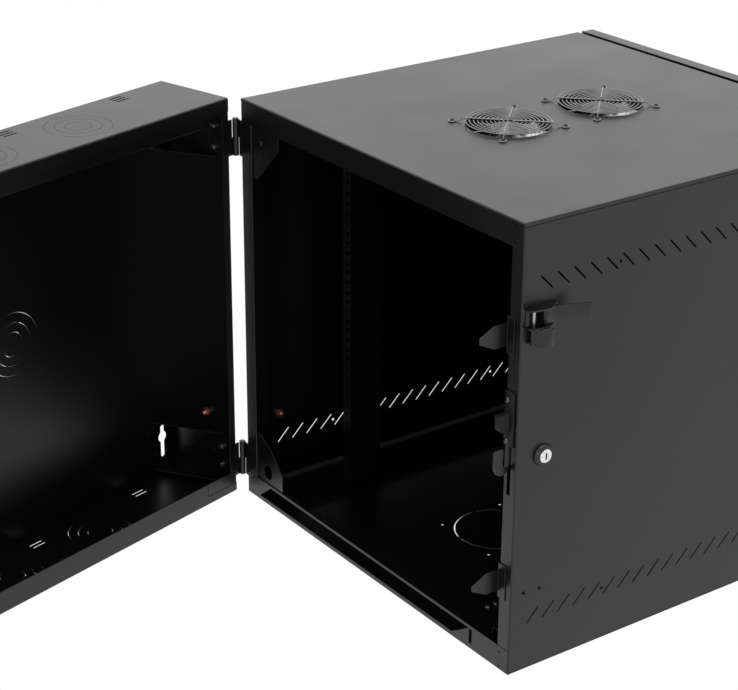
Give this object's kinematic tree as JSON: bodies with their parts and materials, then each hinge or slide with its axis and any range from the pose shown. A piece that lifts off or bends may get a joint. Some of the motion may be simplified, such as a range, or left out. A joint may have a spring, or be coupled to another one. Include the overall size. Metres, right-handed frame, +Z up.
{
  "type": "wall mount network cabinet",
  "caption": "Swing-out wall cabinet for rack equipment: wall box, hinged vented rack body with fans, key-locked hook, draw latch and a front door with a window.",
  "frame": {"origin": "middle of the wall box's back face, on the wall", "axes": "+X along the wall towards the hinge side, +Z up, the room lies towards -Y; the rack body rests open by 75 degrees about the vertical hinge line"},
  "size_m": [1.2331, 0.8838, 0.607],
  "materials": {
    "black_powder_coat": "fine black powder coat",
    "plated_steel": "zinc plated",
    "fan_plastic": "moulded black",
    "black_plastic": "moulded black",
    "chrome": "bright",
    "copper_stud": "coppered steel",
    "smoked_pane": "tinted, clear"
  },
  "bodies": {
    "wall_box": {"wall_back_panel": "black_powder_coat", "wall_top_panel": "black_powder_coat", "wall_top_stiffener": "black_powder_coat", "wall_bottom_panel": "black_powder_coat", "wall_hinge_side": "black_powder_coat", "wall_lock_side": "black_powder_coat", "hook_strike": "black_powder_coat", "draw_latch_keeper": "black_powder_coat", "wall_corner_brackets": "black_powder_coat", "wall_earth_stud": "copper_stud", "wall_hinge_leaves": "black_powder_coat", "hinge_pins": "plated_steel", "wall_hinge_screws": "plated_steel"},
    "rack_body": {"body_hinge_leaves": "black_powder_coat", "body_hinge_screws": "plated_steel", "lock_side_panel": "black_powder_coat", "hinge_side_panel": "black_powder_coat", "hinge_top_angle": "black_powder_coat", "lock_top_angle": "black_powder_coat", "top_panel": "black_powder_coat", "bottom_panel": "black_powder_coat", "corner_gussets": "black_powder_coat", "rear_hinge_rail": "black_powder_coat", "rear_lock_rail": "black_powder_coat", "front_hinge_rail": "black_powder_coat", "front_lock_rail": "black_powder_coat", "lower_depth_runners": "black_powder_coat", "upper_depth_runners": "black_powder_coat", "rail_screws": "plated_steel", "rear_fan_frame": "fan_plastic", "front_fan_frame": "fan_plastic", "rear_fan_guard": "black_powder_coat", "front_fan_guard": "black_powder_coat", "guard_screws": "plated_steel", "guide_tongues": "black_powder_coat", "locating_block": "black_plastic", "latch_screws": "plated_steel", "side_lock_housing": "black_plastic", "side_lock_nut": "plated_steel", "hook_guide_studs": "plated_steel", "draw_latch_base": "black_powder_coat", "draw_latch_pins": "plated_steel", "door_hinge_brackets": "black_powder_coat", "door_hinge_pins": "plated_steel", "body_earth_stud": "copper_stud"},
    "rear_fan": {"rear_fan_rotor": "plated_steel"},
    "front_fan": {"front_fan_rotor": "plated_steel"},
    "side_lock": {"side_lock_plug": "chrome", "side_lock_cam": "plated_steel"},
    "hook": {"hook_plate": "black_powder_coat"},
    "latch_lever": {"draw_latch_lever": "black_powder_coat"},
    "latch_claw": {"draw_latch_claw": "black_powder_coat"},
    "door": {"door_frame": "black_powder_coat", "door_pane": "smoked_pane", "pane_retainer": "black_powder_coat", "door_lock_housing": "black_plastic", "door_lock_nut": "plated_steel"},
    "door_lock": {"door_lock_plug": "chrome", "door_lock_cam": "plated_steel"}
  },
  "joints": [
    {"name": "body_swing", "type": "hinge", "parent": "wall_box", "child": "rack_body", "pos_m": [0.312, -0.1285, 0], "axis": [0, 0, 1], "range_deg": [-75, 20]},
    {"name": "rear_fan_spin", "type": "hinge", "parent": "rack_body", "child": "rear_fan", "pos_m": [0.44713, -0.48772, 0.287], "axis": [0, 0, 1], "continuous": true},
    {"name": "front_fan_spin", "type": "hinge", "parent": "rack_body", "child": "front_fan", "pos_m": [0.60071, -0.52887, 0.287], "axis": [0, 0, 1], "continuous": true},
    {"name": "side_lock_turn", "type": "hinge", "parent": "rack_body", "child": "side_lock", "pos_m": [0.19484, -0.7338, -0.0035], "axis": [-0.2588, -0.9659, 0], "range_deg": [0, 90]},
    {"name": "hook_slide", "type": "slide", "parent": "rack_body", "child": "hook", "axis": [0, 0, -1], "range_m": [0, 0.025]},
    {"name": "latch_lever_turn", "type": "hinge", "parent": "rack_body", "child": "latch_lever", "pos_m": [0.18196, -0.73553, 0.1825], "axis": [0, 0, 1], "range_deg": [-70, 16]},
    {"name": "latch_claw_turn", "type": "hinge", "parent": "rack_body", "child": "latch_claw", "pos_m": [0.16835, -0.72836, 0.159], "axis": [0, 0, 1], "range_deg": [-105, 24]},
    {"name": "door_swing", "type": "hinge", "parent": "rack_body", "child": "door", "pos_m": [0.90724, -0.31025, 0], "axis": [0, 0, 1], "range_deg": [0, 110]},
    {"name": "door_lock_turn", "type": "hinge", "parent": "door", "child": "door_lock", "pos_m": [0.77725, -0.84948, 0], "axis": [0.9659, -0.2588, 0], "range_deg": [0, 90]}
  ],
  "couplings": [
    {"joint": "side_lock_turn", "follows": "hook_slide", "rad_per_m": 62.832},
    {"joint": "latch_claw_turn", "follows": "latch_lever_turn", "ratio": 1.5}
  ]
}
